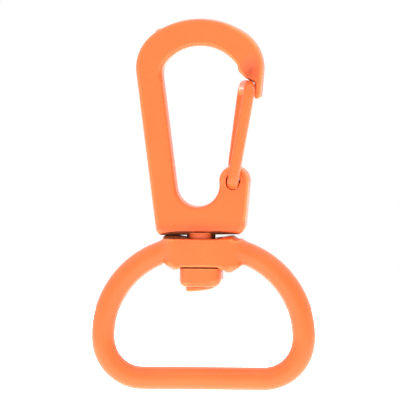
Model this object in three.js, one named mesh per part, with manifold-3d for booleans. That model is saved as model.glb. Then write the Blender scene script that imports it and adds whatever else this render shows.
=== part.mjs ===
// Swivel snap hook with a wire gate and a D-shaped webbing ring.
//
// Millimetres. +X is towards the gate, +Y is away from the viewer, +Z is up.
// The origin is the crown seat: the highest point inside the hook, on the swivel axis,
// where the hook hangs from whatever holds it. Everything else is below it.
import * as THREE from "three";
import { mergeVertices } from "three/addons/utils/BufferGeometryUtils.js";
import Module from "manifold-3d";

const wasm = await Module();
wasm.setup();

// ---------------------------------------------------------------- driving dimensions

const ORANGE = 0xff8c54;

// Hook casting
const HOOK_THICKNESS = 3.8;
const HOOK_EDGE = 0.3; // bevel round both faces
const BASE_Z = -26.95; // underside of the base block
const SPINE_LEAN = 7.15; // degrees: the spine leans in towards the base
const CROWN = { x: -0.12, z: -7.73, r: 11.57 }; // outer crown
const CROWN_HALF_ANGLE = 33.8; // degrees: where the crown arc meets the shoulders
const SHOULDER_R = 6.06;
const INNER_CROWN = { x: -0.06, r: 6.43 };
const SEAT_HALF_ANGLE = 4.5; // degrees: half of the flat at the crown seat
const INNER_SHOULDER_R = 3.0;
const BIGHT = { x: -0.35, z: -19.96, r: 3.02 }; // round bottom of the window
const EAR = { x: 4.84, z: -19.22, r: 2.16 }; // post that carries the gate
const BASE_LEFT_R = 0.9;
const BASE_RIGHT_R = 1.3;
const BASE_RIGHT_LEAN = 4.9; // degrees
const FINGER_LEAN = 9.2; // degrees: outer side of the nose's finger
const FINGER_TIP = { x: 8.05, z: -7.16, r: 0.4 };
const FINGER_ROOT = { x: 7.95, z: -5.35 }; // inner side of the finger, at its root
const NOSE_UNDER = { x: 7.3, z: -4.95 }; // the nose's sloping underside starts here
const NOSE_BEAK = { x: 5.45, z: -3.62 }; // and ends here, in a rounded corner
const NOSE_ANGLE = 34; // degrees on the inner crown where the corner begins

// Gate, one bent wire
const GATE_WIRE = 1.68;
const GATE_PIVOT = { x: 4.66, z: -19.6 };
const GATE_LEG_Y = 2.9; // each leg runs this far from the middle plane
const GATE_TOP_Z = -6.02; // centre line of the cross piece
const GATE_FRONT_TOP_X = 7.16;
const GATE_BACK_TOP_X = 5.96; // the legs are spread apart at the top, which twists the wire
const GATE_BACK_KNEE = { x: 4.46, z: -17.25 };
const GATE_TOP_BEND = 1.5;
const GATE_FOOT_BEND = 1.0;
const GATE_KNEE_BEND = 6.0;
const GATE_FOOT_END_Y = 0.35;
const GATE_HOLE = { x: 4.68, z: -19.45, r: 1.15 };

// Webbing ring
const WEBBING_WIDTH = 25.4; // clear width inside the ring
const RING_BAR = 3.2; // diameter of the ring's round bar
const RING_CENTRE_Z = -41.53; // widest point
const RING_RISE = 13.35; // bar centre line: widest point to where its top would be
const RING_CORNER_R = 5.55; // bar centre line
const RING_CORNER_Z = -41.94;
const RING_END_X = 4.3; // the bar ends inside the collar here

// Swivel collar, cast in one with the ring
const RING_OFFSET_X = 0.3; // the collar's bore is this far off the ring's middle
const COLLAR_HALF_WIDTH = 5.7;
const COLLAR_HALF_DEPTH = 3.1;
const COLLAR_CORNER_R = 1.2;
const COLLAR_RIDGE_HALF_DEPTH = 1.5; // full height only this far from the middle plane
const COLLAR_FACE_TOP = -27.57;
const COLLAR_FACE_BOTTOM = -31.43;
const COLLAR_PEAK = { x: 4.2, top: -27.15, bottom: -32.17 };
const COLLAR_GUSSET = { x: 7.35, z: -31.55, thickness: 2.2 }; // from the collar's lower ridge
const COLLAR_BORE_R = 2.25;
const COLLAR_DISH_R = 2.3; // flat floor of the dish in the collar's top
const COLLAR_RECESS_R = 3.8; // flat roof of the recess under the collar
const COLLAR_RECESS_RIM_R = 4.2;

// Swivel stud and the cap riveted on its lower end
const STUD_ROOT_R = 1.55;
const STUD_ROOT_TOP = -23.9;
const STUD_NECK_R = 2.03;
const STUD_SHANK_R = 1.45;
const STUD_RIVET_R = 2.1;
const STUD_RIVET_HEIGHT = 0.5;
const CAP_HALF_WIDTH = 3.07;
const CAP_CORNER_R = 1.6;
const CAP_HEIGHT = 2.9;
const CAP_EDGE = 0.75;

// Clearances
const PRESS_GAP = 0.05; // beside a pressed or riveted fit
const SEAT_GAP = 0.02; // between faces that touch
const SWIVEL_GAP = 0.15; // between the collar and the cap

// Facets
const ARC_STEP = 10; // degrees a facet, about
const BAR_SIDES = 16;
const WIRE_SIDES = 12;
const TURNED_SIDES = 32;

// ---------------------------------------------------------------- shape helpers

const radians = THREE.MathUtils.degToRad;

// A point at an angle, in degrees, round a centre { x, z }.
function around(centre, radius, degrees) {
  const a = radians(degrees);
  return new THREE.Vector2(centre.x + radius * Math.cos(a), centre.z + radius * Math.sin(a));
}

// Points of an arc from one angle to another, both ends included.
function arc(centre, radius, from, to, step = ARC_STEP) {
  const count = Math.max(1, Math.round(Math.abs(to - from) / step));
  return Array.from({ length: count + 1 }, (_, i) =>
    around(centre, radius, from + ((to - from) * i) / count),
  );
}

// The centre of a corner arc that touches the line through `start` at `lean` degrees
// from vertical, on its inner side, and the level z = floor.
function cornerCentre(start, lean, floor, radius, side) {
  const z = floor + radius;
  const x = start.x - side * Math.tan(radians(lean)) * (start.y - z);
  return { x: x - (side * radius) / Math.cos(radians(lean)), z };
}

// A corner of a polyline rounded to a radius, as points.
function roundCorner(before, corner, after, radius, steps = 3) {
  const a = before.clone().sub(corner).normalize();
  const b = after.clone().sub(corner).normalize();
  const half = a.angleTo(b) / 2;
  const reach = radius / Math.tan(half);
  const centre = corner
    .clone()
    .addScaledVector(a.clone().add(b).normalize(), radius / Math.sin(half));
  const from = corner.clone().addScaledVector(a, reach).sub(centre);
  const to = corner.clone().addScaledVector(b, reach).sub(centre);
  const sweep = Math.PI - 2 * half;
  return Array.from({ length: steps + 1 }, (_, i) => {
    const t = i / steps;
    return centre
      .clone()
      .addScaledVector(from, Math.sin((1 - t) * sweep) / Math.sin(sweep))
      .addScaledVector(to, Math.sin(t * sweep) / Math.sin(sweep));
  });
}

// An outline in the XZ plane made solid along Y, centred on the middle plane.
function slab(points, thickness, edge = 0) {
  const geometry = new THREE.ExtrudeGeometry(new THREE.Shape(points), {
    depth: thickness - 2 * edge,
    bevelEnabled: edge > 0,
    bevelThickness: edge,
    bevelSize: edge,
    bevelOffset: -edge,
    bevelSegments: 2,
  });
  geometry.translate(0, 0, edge - thickness / 2);
  return geometry.rotateX(Math.PI / 2);
}

// A plan outline in XY made solid from z = bottom upwards.
function prism(points, bottom, height) {
  const shape = new THREE.Shape(points);
  const geometry = new THREE.ExtrudeGeometry(shape, { depth: height, bevelEnabled: false });
  return geometry.translate(0, 0, bottom);
}

// A profile of [radius, z] points turned about the swivel axis. The profile runs upwards.
function turned(profile, sides = TURNED_SIDES) {
  const points = profile.map(([r, z]) => new THREE.Vector2(r, z));
  return new THREE.LatheGeometry(points, sides).rotateX(Math.PI / 2);
}

// A cylinder along Y.
function crossCylinder({ x, z, r }, length, sides) {
  return new THREE.CylinderGeometry(r, r, length, sides).translate(x, 0, z);
}

// A rectangle with round corners, half sizes given.
function roundedRectangle(halfX, halfY, radius, step = 30) {
  const corners = [
    [halfX - radius, halfY - radius, 0],
    [radius - halfX, halfY - radius, 90],
    [radius - halfX, radius - halfY, 180],
    [halfX - radius, radius - halfY, 270],
  ];
  return corners.flatMap(([x, z, start]) => arc({ x, z }, radius, start, start + 90, step));
}

// A route for a bar or wire: one ring of the section stands at each point.
class Route extends THREE.Curve {
  constructor(points) {
    super();
    this.points = points;
  }

  getPoint(t, target = new THREE.Vector3()) {
    const place = t * (this.points.length - 1);
    const i = Math.min(Math.floor(place + 1e-6), this.points.length - 2);
    return target.lerpVectors(this.points[i], this.points[i + 1], place - i);
  }

  getPointAt(u, target) {
    return this.getPoint(u, target);
  }

  getTangentAt(u, target = new THREE.Vector3()) {
    const last = this.points.length - 1;
    const i = Math.round(u * last);
    const into = this.points[Math.max(i, 1)].clone().sub(this.points[Math.max(i, 1) - 1]);
    const out = this.points[Math.min(i, last - 1) + 1]
      .clone()
      .sub(this.points[Math.min(i, last - 1)]);
    return target.copy(into.normalize().add(out.normalize()).normalize());
  }
}

// A round section swept along points, with flat ends.
function sweep(points, diameter, sides) {
  const halfFacet = 180 / sides;
  const section = arc({ x: 0, z: 0 }, diameter / 2, halfFacet, 360 - halfFacet, 360 / sides);
  return new THREE.ExtrudeGeometry(new THREE.Shape(section), {
    steps: points.length - 1,
    bevelEnabled: false,
    extrudePath: new Route(points),
  });
}

// ---------------------------------------------------------------- solids

// A closed geometry as a solid that can be cut and joined.
function solid(geometry) {
  const bare = geometry.clone();
  for (const name of ["normal", "uv"]) bare.deleteAttribute(name);
  const merged = mergeVertices(bare, 1e-4);
  return new wasm.Manifold(
    new wasm.Mesh({
      numProp: 3,
      vertProperties: merged.attributes.position.array,
      triVerts: new Uint32Array(merged.index.array),
    }),
  );
}

// The surface of a solid, as a geometry again.
function geometryOf(made) {
  const mesh = made.getMesh();
  const geometry = new THREE.BufferGeometry();
  geometry.setAttribute("position", new THREE.BufferAttribute(mesh.vertProperties, 3));
  geometry.setIndex(new THREE.BufferAttribute(mesh.triVerts, 1));
  geometry.computeVertexNormals();
  return geometry;
}

// ---------------------------------------------------------------- hook body

// Outline of the hook casting, clockwise from the base's lower left corner.
function hookOutline() {
  const rise = CROWN.r - SHOULDER_R;
  const shoulder = (side) => ({
    x: CROWN.x + side * rise * Math.sin(radians(CROWN_HALF_ANGLE)),
    z: CROWN.z + rise * Math.cos(radians(CROWN_HALF_ANGLE)),
  });
  const left = shoulder(-1);
  const right = shoulder(1);
  const spineTop = around(left, SHOULDER_R, 180 + SPINE_LEAN);
  const baseLeft = cornerCentre(spineTop, SPINE_LEAN, BASE_Z, BASE_LEFT_R, -1);
  const earSide = around(EAR, EAR.r, -BASE_RIGHT_LEAN);
  const baseRight = cornerCentre(earSide, BASE_RIGHT_LEAN, BASE_Z, BASE_RIGHT_R, 1);

  // Inner crown: its middle facet is level, and lies at z = 0.
  const innerCrown = {
    x: INNER_CROWN.x,
    z: -INNER_CROWN.r * Math.cos(radians(SEAT_HALF_ANGLE)),
  };
  // Inner shoulder: touches the inner crown from inside and the window's leaning side.
  const normal = new THREE.Vector2(Math.cos(radians(SPINE_LEAN)), Math.sin(radians(SPINE_LEAN)));
  const along = new THREE.Vector2(-normal.y, normal.x);
  const sideAt = new THREE.Vector2(BIGHT.x, BIGHT.z).dot(normal) - BIGHT.r;
  const across = sideAt + INNER_SHOULDER_R - normal.x * innerCrown.x - normal.y * innerCrown.z;
  const up = Math.sqrt((INNER_CROWN.r - INNER_SHOULDER_R) ** 2 - across ** 2);
  const innerShoulder = {
    x: innerCrown.x + across * normal.x + up * along.x,
    z: innerCrown.z + across * normal.y + up * along.y,
  };
  const meet =
    180 +
    THREE.MathUtils.radToDeg(
      Math.atan((innerShoulder.z - innerCrown.z) / (innerShoulder.x - innerCrown.x)),
    );
  const bightToEar = THREE.MathUtils.radToDeg(Math.atan2(EAR.z - BIGHT.z, EAR.x - BIGHT.x));

  const fingerTip = { x: FINGER_TIP.x, z: FINGER_TIP.z };
  const beak = new THREE.Vector2(NOSE_BEAK.x, NOSE_BEAK.z);
  const under = new THREE.Vector2(NOSE_UNDER.x, NOSE_UNDER.z);
  const root = new THREE.Vector2(FINGER_ROOT.x, FINGER_ROOT.z);
  const tipInner = around(fingerTip, FINGER_TIP.r, 180);
  const crownEnd = around(innerCrown, INNER_CROWN.r, NOSE_ANGLE);

  return [
    ...arc(baseLeft, BASE_LEFT_R, 270, 180 + SPINE_LEAN, 20),
    ...arc(left, SHOULDER_R, 180 + SPINE_LEAN, 90 + CROWN_HALF_ANGLE),
    ...arc(CROWN, CROWN.r, 90 + CROWN_HALF_ANGLE, 90 - CROWN_HALF_ANGLE, 6).slice(1),
    ...arc(right, SHOULDER_R, 90 - CROWN_HALF_ANGLE, -FINGER_LEAN).slice(1),
    ...arc(fingerTip, FINGER_TIP.r, -FINGER_LEAN, -180, 30),
    ...roundCorner(tipInner, root, under, 0.45),
    ...roundCorner(under, beak, crownEnd, 0.9),
    ...arc(innerCrown, INNER_CROWN.r, NOSE_ANGLE, 90 - SEAT_HALF_ANGLE),
    ...arc(innerCrown, INNER_CROWN.r, 90 + SEAT_HALF_ANGLE, meet),
    ...arc(innerShoulder, INNER_SHOULDER_R, meet, 180 + SPINE_LEAN).slice(1),
    ...arc(BIGHT, BIGHT.r, 180 + SPINE_LEAN, 360 + bightToEar),
    ...arc(EAR, EAR.r, 180 + bightToEar, -BASE_RIGHT_LEAN, 12),
    ...arc(baseRight, BASE_RIGHT_R, -BASE_RIGHT_LEAN, -90, 20),
  ];
}

function hookBody() {
  const blank = solid(slab(hookOutline(), HOOK_THICKNESS, HOOK_EDGE));
  const gateHole = solid(crossCylinder(GATE_HOLE, HOOK_THICKNESS + 2, 24));
  const boreTop = STUD_ROOT_TOP + PRESS_GAP;
  const studBore = solid(
    turned([
      [0, BASE_Z - 1],
      [STUD_ROOT_R + PRESS_GAP, BASE_Z - 1],
      [STUD_ROOT_R + PRESS_GAP, boreTop],
      [0, boreTop],
    ]),
  );
  return geometryOf(blank.subtract(gateHole).subtract(studBore));
}

// ---------------------------------------------------------------- gate wire

// Corners joined by straight runs, each inner corner rounded to its radius.
function wireRoute(corners) {
  const points = [corners[0].at];
  for (let i = 1; i < corners.length - 1; i++) {
    const bend = corners[i].bend;
    const turn = Math.PI - bendAngle(corners, i);
    const steps = Math.max(2, Math.round(THREE.MathUtils.radToDeg(turn) / 18));
    points.push(...roundCorner(corners[i - 1].at, corners[i].at, corners[i + 1].at, bend, steps));
  }
  points.push(corners.at(-1).at);
  return points;
}

function bendAngle(corners, i) {
  const a = corners[i - 1].at.clone().sub(corners[i].at);
  return a.angleTo(corners[i + 1].at.clone().sub(corners[i].at));
}

function gateWire() {
  const corner = (x, y, z, bend) => ({ at: new THREE.Vector3(x, y, z), bend });
  const { x, z } = GATE_PIVOT;
  const route = wireRoute([
    corner(x, -GATE_FOOT_END_Y, z),
    corner(x, -GATE_LEG_Y, z, GATE_FOOT_BEND),
    corner(GATE_FRONT_TOP_X, -GATE_LEG_Y, GATE_TOP_Z, GATE_TOP_BEND),
    corner(GATE_BACK_TOP_X, GATE_LEG_Y, GATE_TOP_Z, GATE_TOP_BEND),
    corner(GATE_BACK_KNEE.x, GATE_LEG_Y, GATE_BACK_KNEE.z, GATE_KNEE_BEND),
    corner(x, GATE_LEG_Y, z, GATE_FOOT_BEND),
    corner(x, GATE_FOOT_END_Y, z),
  ]);
  return sweep(route, GATE_WIRE, WIRE_SIDES);
}

// ---------------------------------------------------------------- swivel ring

// Centre line of the ring's bar, from the collar's left side round to its right side.
function ringRoute() {
  const halfWidth = (WEBBING_WIDTH + RING_BAR) / 2;
  const start = THREE.MathUtils.radToDeg(Math.acos(RING_END_X / halfWidth));
  const side = (sign) =>
    arc({ x: 0, z: 0 }, 1, start, 0, 6).map(
      ({ x, y }) => new THREE.Vector3(sign * x * halfWidth, 0, RING_CENTRE_Z + y * RING_RISE),
    );
  const corner = (sign) =>
    arc({ x: halfWidth - RING_CORNER_R, z: RING_CORNER_Z }, RING_CORNER_R, 0, -90).map(
      ({ x, y }) => new THREE.Vector3(sign * x, 0, y),
    );
  const left = [...side(-1), ...corner(-1)];
  const right = [...side(1), ...corner(1)].reverse();
  return [...left, ...right];
}

// The collar: its outline from the front, cut to its outline from the side and from above.
function collar() {
  const { x: peakX, top, bottom } = COLLAR_PEAK;
  const sideTop = COLLAR_FACE_TOP - 0.05;
  const front = [
    [-COLLAR_HALF_WIDTH, COLLAR_FACE_BOTTOM],
    [-COLLAR_HALF_WIDTH, sideTop],
    [-peakX, top],
    [peakX, top],
    [COLLAR_HALF_WIDTH, sideTop],
    [COLLAR_HALF_WIDTH, COLLAR_FACE_BOTTOM],
    [COLLAR_HALF_WIDTH - 0.5, COLLAR_FACE_BOTTOM],
    [peakX - 0.2, bottom],
    [0.2 - peakX, bottom],
    [0.5 - COLLAR_HALF_WIDTH, COLLAR_FACE_BOTTOM],
  ].map(([x, z]) => new THREE.Vector2(x, z));
  const d = COLLAR_HALF_DEPTH;
  const ridge = COLLAR_RIDGE_HALF_DEPTH;
  const end = [
    [-d, COLLAR_FACE_BOTTOM],
    [-ridge, bottom - 0.01],
    [ridge, bottom - 0.01],
    [d, COLLAR_FACE_BOTTOM],
    [d, COLLAR_FACE_TOP],
    [ridge, top + 0.01],
    [-ridge, top + 0.01],
    [-d, COLLAR_FACE_TOP],
  ].map(([y, z]) => new THREE.Vector2(y, z));
  const plan = roundedRectangle(COLLAR_HALF_WIDTH, COLLAR_HALF_DEPTH, COLLAR_CORNER_R);
  const fromFront = solid(slab(front, 3 * d));
  const fromSide = solid(slab(end, 3 * COLLAR_HALF_WIDTH).rotateZ(Math.PI / 2));
  const fromAbove = solid(prism(plan, bottom - 1, top - bottom + 2));
  return fromFront.intersect(fromSide).intersect(fromAbove);
}

// A rib under each end of the bar, from the collar's lower ridge out to the bar.
function gusset(side) {
  const outline = [
    [COLLAR_PEAK.x - 0.4, COLLAR_PEAK.bottom],
    [COLLAR_GUSSET.x, COLLAR_GUSSET.z],
    [COLLAR_GUSSET.x, COLLAR_GUSSET.z + 1],
    [COLLAR_PEAK.x - 0.4, COLLAR_FACE_TOP - 1],
  ].map(([x, z]) => new THREE.Vector2(side * x, z));
  return solid(slab(outline, COLLAR_GUSSET.thickness));
}

function swivelRing() {
  const bar = solid(sweep(ringRoute(), RING_BAR, BAR_SIDES));
  const casting = [collar(), gusset(-1), gusset(1)]
    .reduce((made, piece) => made.add(piece), bar)
    .translate([RING_OFFSET_X, 0, 0]);
  const above = COLLAR_PEAK.top + 1;
  const below = COLLAR_PEAK.bottom - 1;
  const dish = turned([
    [0, COLLAR_FACE_TOP],
    [COLLAR_DISH_R, COLLAR_FACE_TOP],
    [COLLAR_PEAK.x + RING_OFFSET_X, COLLAR_PEAK.top],
    [COLLAR_PEAK.x + RING_OFFSET_X, above],
    [0, above],
  ]);
  const recess = turned([
    [0, below],
    [COLLAR_RECESS_RIM_R, below],
    [COLLAR_RECESS_RIM_R, COLLAR_PEAK.bottom],
    [COLLAR_RECESS_R, COLLAR_FACE_BOTTOM],
    [0, COLLAR_FACE_BOTTOM],
  ]);
  const bore = turned([
    [0, below],
    [COLLAR_BORE_R, below],
    [COLLAR_BORE_R, above],
    [0, above],
  ]);
  const cuts = [dish, recess, bore].map(solid);
  return geometryOf(cuts.reduce((made, cut) => made.subtract(cut), casting));
}

// ---------------------------------------------------------------- swivel stud and cap

const CAP_TOP = COLLAR_FACE_BOTTOM - SWIVEL_GAP;
const CAP_BOTTOM = CAP_TOP - CAP_HEIGHT;

// Steel stud: root cast into the base, neck that turns in the collar, riveted lower end.
function swivelStud() {
  const neckTop = BASE_Z - SEAT_GAP;
  const shankTop = CAP_TOP + SEAT_GAP;
  const rivetTop = CAP_BOTTOM - SEAT_GAP;
  const rivetBottom = rivetTop - STUD_RIVET_HEIGHT;
  return turned([
    [0, rivetBottom],
    [STUD_RIVET_R - 0.35, rivetBottom],
    [STUD_RIVET_R, rivetBottom + 0.25],
    [STUD_RIVET_R, rivetTop],
    [STUD_SHANK_R, rivetTop],
    [STUD_SHANK_R, shankTop],
    [STUD_NECK_R, shankTop],
    [STUD_NECK_R, neckTop],
    [STUD_ROOT_R, neckTop],
    [STUD_ROOT_R, STUD_ROOT_TOP],
    [0, STUD_ROOT_TOP],
  ]);
}

// Square cap with round corners, pressed on the stud's shank under the collar. Only its
// lower edge is rounded.
function retainingCap() {
  const outline = roundedRectangle(CAP_HALF_WIDTH, CAP_HALF_WIDTH, CAP_CORNER_R);
  const rounded = new THREE.ExtrudeGeometry(new THREE.Shape(outline), {
    depth: CAP_HEIGHT,
    bevelThickness: CAP_EDGE,
    bevelSize: CAP_EDGE,
    bevelOffset: -CAP_EDGE,
    bevelSegments: 3,
  }).translate(0, 0, CAP_BOTTOM + CAP_EDGE);
  const hole = turned([
    [0, CAP_BOTTOM - 1],
    [STUD_SHANK_R + PRESS_GAP, CAP_BOTTOM - 1],
    [STUD_SHANK_R + PRESS_GAP, CAP_TOP + 1],
    [0, CAP_TOP + 1],
  ]);
  const above = prism(roundedRectangle(9, 9, 1), CAP_TOP, 4);
  return geometryOf(solid(rounded).subtract(solid(hole)).subtract(solid(above)));
}

// ---------------------------------------------------------------- assembly

function mesh(name, geometry, { roughness, metalness }) {
  const material = new THREE.MeshStandardMaterial({ color: ORANGE, roughness, metalness });
  const made = new THREE.Mesh(geometry, material);
  made.name = name;
  return made;
}

const PAINT = { roughness: 0.35, metalness: 0.0 };

const hook = new THREE.Group();
hook.add(mesh("hook_body", hookBody(), PAINT));
hook.add(mesh("swivel_stud", swivelStud(), PAINT));
hook.add(mesh("retaining_cap", retainingCap(), PAINT));
hook.add(mesh("gate_wire", gateWire(), PAINT));
hook.add(mesh("swivel_ring", swivelRing(), PAINT));

export default hook;
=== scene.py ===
"""Looks for the swivel snap hook: cast hook, wire gate, riveted stud and webbing ring.

The cast and turned pieces are distance fields: each is a function of x, y and z, in
millimetres, that is negative inside the metal. A field is meshed once, and its vertices are
then moved onto its exact surface. Everything is in the CAD's frame: +X to the gate, +Y away
from the viewer, +Z up, with the origin at the crown seat.
"""

import math

import bpy
import numpy as np
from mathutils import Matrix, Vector


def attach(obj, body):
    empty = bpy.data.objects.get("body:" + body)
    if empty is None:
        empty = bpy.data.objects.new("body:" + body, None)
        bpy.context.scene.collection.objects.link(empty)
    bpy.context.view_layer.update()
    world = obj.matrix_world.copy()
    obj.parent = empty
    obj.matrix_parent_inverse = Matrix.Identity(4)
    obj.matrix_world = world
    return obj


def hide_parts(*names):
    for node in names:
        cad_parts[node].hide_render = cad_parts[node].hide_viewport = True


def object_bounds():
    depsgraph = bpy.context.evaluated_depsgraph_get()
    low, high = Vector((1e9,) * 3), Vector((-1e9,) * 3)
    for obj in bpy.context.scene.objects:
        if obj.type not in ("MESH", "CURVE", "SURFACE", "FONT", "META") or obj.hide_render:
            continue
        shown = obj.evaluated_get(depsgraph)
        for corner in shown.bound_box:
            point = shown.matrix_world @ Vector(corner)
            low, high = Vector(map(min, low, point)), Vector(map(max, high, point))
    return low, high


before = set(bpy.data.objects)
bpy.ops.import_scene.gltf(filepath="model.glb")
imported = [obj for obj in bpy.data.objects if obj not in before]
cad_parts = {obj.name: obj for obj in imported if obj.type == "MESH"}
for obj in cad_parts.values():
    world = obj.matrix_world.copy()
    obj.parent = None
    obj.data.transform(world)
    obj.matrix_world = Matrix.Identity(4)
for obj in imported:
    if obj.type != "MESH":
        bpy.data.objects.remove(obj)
CAD_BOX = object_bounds()
MM = 0.001

# ---------------------------------------------------------------- driving dimensions, mm

HOOK_HALF_DEPTH = 1.9
HOOK_GROWTH = 0.08  # how far the walls' middle stands outside the outline
HOOK_DRAFT = 0.08  # how far the walls draw in for each mm towards either face
HOOK_EDGE = 0.6  # radius round both faces
HOOK_BASE_EDGE = 0.2  # added to it along the base's underside
HOOK_CROWN_EDGE = 0.2  # and under the crown
EAR_CRISPER = 0.4  # share taken off it right of the window: ear, nose and finger
FINGER_CRISPER = 0.35  # and again down the outer side there
BASE_Z = -26.87
BASE_TILT = 0.09  # the base is lower by this at its left end, and higher at its right
SPINE_LEAN = 7.15  # degrees, as are the other leans and angles
CROWN = (-0.12, -7.73, 11.5)  # x, z, radius
CROWN_HALF_ANGLE = 33.8
SHOULDER_R = 6.06
INNER_CROWN = (0.02, -6.46, 6.38)  # x, z, radius
INNER_SHOULDER_R = 3.0
BIGHT = (-0.37, -19.83, 3.1)  # x, z, radius of the window's lower end
EAR = (4.84, -19.22, 2.16)  # x, z, radius
BASE_LEFT_R = 0.9
BASE_RIGHT_R = 1.2
BASE_RIGHT_LEAN = 4.9
FINGER_LEAN = 5.6
FINGER_TIP = (8.16, -7.12, 0.48)  # x, z, radius
FINGER_ROOT = (7.7, -5.3)  # x, z, as are the next three
NOSE_UNDER = (7.42, -5.1)
NOSE_CHIN = (6.2, -4.43)
NOSE_BEAK = (5.38, -3.6)
FINGER_ROOT_R = 0.25
NOSE_CHIN_R = 1.5
NOSE_BEAK_R = 0.7
NOSE_ANGLE = 34  # where the inner crown's arc ends at the nose
NOSE_HOLLOW = {"x": 7.2, "z": -3.5, "depth": 0.45, "across": 1.0, "along": 1.79, "lean": 1 / 3}
GATE_RELIEF = {"x": 7.3, "z": -5.5, "reach": 1.4, "slope": 0.13, "flat": 0.4}  # clears the gate
GATE_HOLE = (4.74, -19.12, 0.97)  # x, z, radius
GATE_SEAT = (4.66, -19.53, 0.89)  # the hole's lower end, worn by the wire
GATE_HOLE_EDGE = 0.25
GATE_HOLE_BLEND = 0.1  # rounds the corners where the seat and the hole meet
CASTING_NUB = {"x": -6.12, "y": 0.55, "z": 2.0, "size": (0.62, 0.6, 0.34), "turn": 35}
CASTING_NUB_FILLET = 0.12

GATE_WIRE_R = 0.81
GATE_PIVOT = (4.74, -19.57)  # x, z of the feet's bends
GATE_LEG_Y = 2.9
GATE_TOP_Z = -5.72
GATE_FRONT_TOP_X = 7.28
GATE_BACK_TOP_X = 5.83
GATE_BACK_KNEE = (4.33, -17.25)  # x, z of the back leg's slight bend
GATE_TOP_BEND = 1.5
GATE_FOOT_BEND = 1.0
GATE_KNEE_BEND = 6.0
GATE_FOOT_END = (4.67, 0.35, -19.52)  # x, half the gap between the feet, z

RING_X = 0.3  # the ring's middle, off the swivel axis
RING_BAR_R = 1.67
RING_SIDE = (1.64, -41.53, 12.74)  # bar's centre line, x, z, radius: the upper sides
RING_CORNER = (8.67, -41.76, 5.71)  # and the lower corners
RING_FILLET = 0.4  # where the bar meets the collar
RING_FILLET_MIDDLE = 0.5  # added to it at the collar's half height

COLLAR_HALF_WIDTH = 5.7
COLLAR_HALF_DEPTH = 3.1
COLLAR_CORNER_R = 1.7
COLLAR_BOW = 0.02  # how far the faces fall back, per mm squared across
COLLAR_TOP = -27.05
COLLAR_SHOULDER = -27.6
COLLAR_BOTTOM = -32.2
COLLAR_MIDDLE = -29.3
COLLAR_RIDGE_X = (-5.5, 4.3)  # the top is highest between these
COLLAR_RIDGE_Y = 1.5
COLLAR_TOP_FALL = (0.7, 0.36)  # its slopes off the ridge: sideways, and to the faces
COLLAR_TOP_EDGE = 0.35
COLLAR_KEEL_X = (-3.55, 4.15)  # the underside is lowest between these
COLLAR_KEEL_Y = 1.9
COLLAR_KEEL_RISE = (0.6, 0.65)  # its slopes off the keel, the same way
COLLAR_KEEL_EDGE = 0.3
COLLAR_SLOPE_SCALE = 0.85  # turns a height above a sloping face into a distance
COLLAR_BORE_R = 2.25
COLLAR_BORE_EDGE = 0.2
COLLAR_DISH_R = 2.3  # the dish round the bore is flat out to here
COLLAR_DISH_X = 0.4
COLLAR_DISH_FLOOR = -27.57
COLLAR_DISH_SLOPE = 0.34
COLLAR_DISH_REACH = 5.2
COLLAR_DISH_EDGE = 0.1
COLLAR_RECESS_R = 3.82
COLLAR_RECESS_ROOF = -31.43
COLLAR_RECESS_FLARE = 0.45  # how much wider the recess is 1 mm below its roof
COLLAR_RECESS_EDGE = 0.16
CUT_END = COLLAR_BOTTOM - 1.0  # the bore and the recess are cut down to here

STUD_NECK_R = 2.03
STUD_FLARE = 0.16  # how much wider the neck is just under the base
STUD_FLARE_HEIGHT = 0.2  # height in which the flare falls to about a third
STUD_SHANK_R = 1.45
STUD_OVERLAP = 0.3  # how far the stud's parts reach into the base and into each other
RIVET = {"x": -0.12, "radius": 1.98, "z": -34.76, "tilt": (0.105, 0.05), "edge": 0.24}
RIVET_WAVES = ((2, 0.13, 0.6), (5, 0.07, 2.0))  # of its outline: number, height, phase
RIVET_CRATER = {"x": -0.1, "depth": 0.16, "spread": 0.7}
CAP_TOP = -31.58
CAP_BOTTOM = -34.3
CAP_BOW = 0.06  # how far the faces fall back, per mm squared across
CAP_X = 0.04
CAP_HALF_WIDTH = 3.0
CAP_CORNER_R = 1.3
CAP_EDGE = 0.14  # radius round the top
CAP_LOWER_EDGE = 0.66  # added to it round the lower end
CAP_RIGHT_EDGE = 0.3  # and at the lower right

# Boxes that the pieces are meshed in (low corner, high corner), and the meshes' steps
HOOK_MESH = ((-9.5, -1.9, -27.1), (9.3, 1.9, 3.9), 0.13)
RING_MESH = ((-15.8, -3.1, -49.1), (16.4, 3.1, -26.9), 0.14)
STUD_MESH = ((-2.5, -2.5, -35.3), (2.5, 2.5, -26.6), 0.09)
CAP_MESH = ((-3.1, -3.1, -34.5), (3.1, 3.1, -31.5), 0.09)


# ---------------------------------------------------------------- camera

VIEW_WIDTH = 57.0  # mm of the object's middle plane across the frame
CAMERA_DISTANCE = 620.0
CAMERA_AZIMUTH = 6.0  # degrees from straight in front, towards the gate
CAMERA_ELEVATION = 2.5
CAMERA_TARGET = (-0.17, 0.0, -21.99)


def add_camera():
    """A long lens straight in front, a little to the gate's side."""
    data = bpy.data.cameras.new("camera")
    data.sensor_width = 36.0
    data.lens = data.sensor_width * CAMERA_DISTANCE / VIEW_WIDTH
    data.clip_start = 0.01
    data.clip_end = 20.0
    camera = bpy.data.objects.new("camera", data)
    bpy.context.scene.collection.objects.link(camera)
    azimuth = math.radians(CAMERA_AZIMUTH)
    elevation = math.radians(CAMERA_ELEVATION)
    away = Vector(
        (
            math.sin(azimuth) * math.cos(elevation),
            -math.cos(azimuth) * math.cos(elevation),
            math.sin(elevation),
        )
    )
    camera.location = (Vector(CAMERA_TARGET) + away * CAMERA_DISTANCE) * MM
    camera.rotation_euler = away.to_track_quat("Z", "Y").to_euler()
    bpy.context.scene.camera = camera


# ---------------------------------------------------------------- outlines


def around(centre, radius, degrees):
    """A point at an angle round a centre (x, z)."""
    a = math.radians(degrees)
    return (centre[0] + radius * math.cos(a), centre[1] + radius * math.sin(a))


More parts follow.
